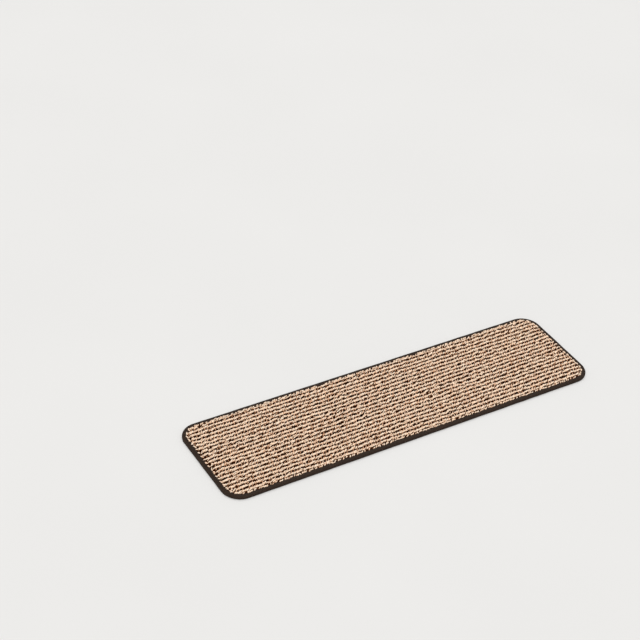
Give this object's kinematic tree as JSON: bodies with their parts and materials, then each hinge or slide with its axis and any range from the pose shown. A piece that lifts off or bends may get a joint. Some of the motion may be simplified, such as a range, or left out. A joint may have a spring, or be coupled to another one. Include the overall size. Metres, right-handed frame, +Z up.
{
  "type": "stair tread mat",
  "caption": "Anti-slip stair tread mat: a long rounded strip of ribbed loop-pile carpet on a rubber sheet, with a folded and sewn edge binding.",
  "frame": {"origin": "middle of the underside, where the mat lies on the step", "axes": "+X along the step, the mat's long side; +Y from the step's nosing to the riser; +Z up"},
  "size_m": [0.762, 0.203, 0.0078],
  "materials": {
    "carpet": "looped wool-like yarn in cream and tan with dark brown flecks",
    "rubber": "matte, fine grain",
    "tape": "matte woven tape",
    "thread": "twisted sewing thread"
  },
  "bodies": {
    "root": {"rubber_backing": "rubber", "pile_carpet": "carpet", "edge_binding": "tape", "needle_thread": "thread", "bobbin_thread": "thread"}
  },
  "joints": []
}
